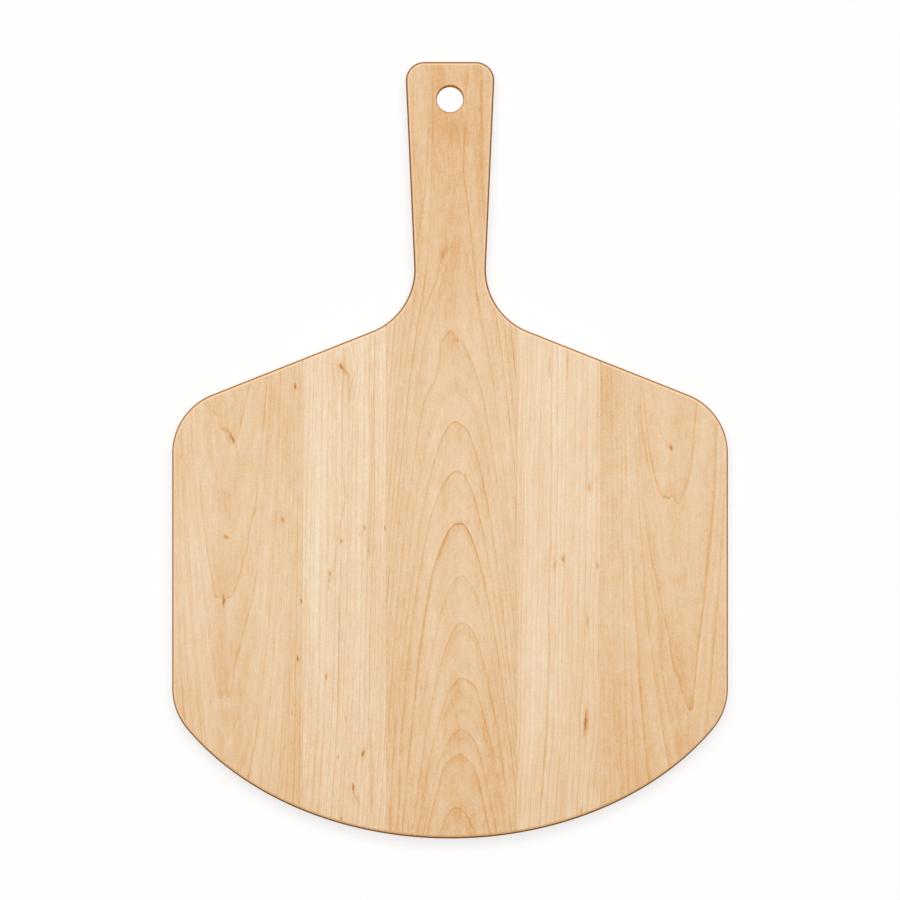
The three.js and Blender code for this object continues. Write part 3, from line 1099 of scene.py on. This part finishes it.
outerStaveRight = {
    "piece": "outerStaveRight", "node": "outer_stave_right", "slot": "outer_stave_wood", "seed": 8,
    "heartColumn": 677, "heartDepth": 33,
    "heartLine": [(400, 671), (450, 671), (542, 675), (714, 686), (836, 690)],
    "lean": [(340, -5.67), (840, 5.67)],
    "drift": 1.0, "flare": 0.5, "straight": 0.8,
    "lines": [
        (671, 450, 0.5), (675, 542, 0.95), (686, 726, 0.8), (645, 600, 0.65), (634, 575, 0.95),
        (628, 590, 0.45), (623, 590, 0.7), (618, 590, 0.4), (613, 590, 0.7), (608, 590, 0.4),
        (603, 590, 0.5),
    ],
    "ringWidth": 3.2, "hiddenRings": 7, "ripple": 0.6, "sway": 0.6,
    "calm": [(380, 1), (800, 1)],
    "steep": 0.042, "lineSize": 0.8, "taper": 0.2,
    "tone": 0.62, "contrast": 1.1, "bands": 0.24, "streaks": 0.1, "fibres": 0.38,
    "spread": [(380, 0.19), (590, 0), (800, -0.19)],
    "shade": [(380, 0.02), (500, -0.04), (600, -0.02), (700, 0.04), (800, 0.1)],
    "stains": [
        (673, 695, 260, 54, 8, 0.21), (610, 390, 110, 50, 0, 0.12), (646, 500, 160, 50, 4, -0.06),
        (688, 690, 50, 16, 0, -0.1),
    ],
    "kinks": [
        (674, 506, 110, 64, 0, 0.97), (667, 497, 36, 20, 0, 0.16), (673, 498, 9, 7, 0, 0.08),
        (679, 500, 24, 10, 0, -0.12), (666, 632, 260, 30, 13, 1.4), (674, 666, 90, 22, 6, -0.25),
        (699, 645, 220, 26, -8, 0.5), (687, 712, 44, 22, 0, -0.19),
    ],
    "veins": [
        (0.3, 3, [(640.5, 374), (640.5, 418), (644.4, 443), (650, 478)]),
        (0.22, 3, [(624.5, 430), (627, 484), (630.7, 525), (632.5, 572), (634, 625)]),
        (0.24, 3, [(716, 416), (714.8, 459), (713, 502), (710.4, 533), (706, 572), (702, 610)]),
    ],
    "flecks": [(671, 448, 9, 5, 10, 0.9)],
}

staves = [outerStaveLeft, innerStaveLeft, centreStave, innerStaveRight, outerStaveRight]
cuts = [-boardWidth, *jointX, boardWidth]  # left to right, the first and last past the outline
for grain, fromX, toX in zip(staves, cuts, cuts[1:]):
    stave = cutStrip(grain["piece"], fromX + halfGlue, toX - halfGlue)
    finishPiece(stave, woodMaterial(grain["piece"] + "Wood", grain), grain["node"])
    print("stave made:", grain["piece"], len(stave.data.polygons), "faces")


# Glue: cured, amber and a little glossier than the wood
glue = {
    "pieces": [  # left to right, with the CAD nodes that they replace
        ("glueOuterLeft", "glue_line_outer_left"),
        ("glueInnerLeft", "glue_line_inner_left"),
        ("glueInnerRight", "glue_line_inner_right"),
        ("glueOuterRight", "glue_line_outer_right"),
    ],
    "slot": "glue",
    "seed": 2,
    "colours": [(0.0, paint(226, 190, 146)), (1.0, paint(206, 160, 110))],
    "wallColour": paint(172, 122, 68),
    "patch": (2, 18, 3, 0),  # cloudy patterns, as for the wood
    "grit": (0.4, 2, 2, 4),
    "roughness": 0.42,
    "patchRough": 0.2,
    "gloss": 0.2,
    "bump": 0.1,
    "bumpHeight": 0.1,  # mm
}


def glueMaterial():
    material = bpy.data.materials.new("curedGlue")
    material.use_nodes = True
    nodes = Nodes(material.node_tree)
    film = Grain(nodes, glue["seed"])
    patch = film.cloud(*glue["patch"])
    colour = nodes.add("ShaderNodeValToRGB", {"stops": glue["colours"]}, [patch + 0.5])
    # The same dark band on the roundovers as the wood: partly burnish, partly painted shade
    burnishAndShade = nodes.attribute("edgeSlope").rise(*wood["burnishAndShadeFrom"])
    colour = nodes.blend(burnishAndShade, colour, glue["wallColour"])
    bump = nodes.add("ShaderNodeBump", {}, {
        "Strength": glue["bump"],
        "Distance": glue["bumpHeight"] * mm,
        "Height": film.cloud(*glue["grit"]),
    })
    shader = nodes.add("ShaderNodeBsdfPrincipled", {}, {
        "Base Color": colour,
        "Roughness": glue["roughness"] + patch * glue["patchRough"],
        "Normal": bump,
        "Specular IOR Level": glue["gloss"],
    })
    nodes.add("ShaderNodeOutputMaterial", {}, {"Surface": shader})
    return material


curedGlue = glueMaterial()
for (name, node), x in zip(glue["pieces"], jointX):
    finishPiece(cutStrip(name, x - halfGlue, x + halfGlue), curedGlue, node)
print("glue lines made:", len(jointX))
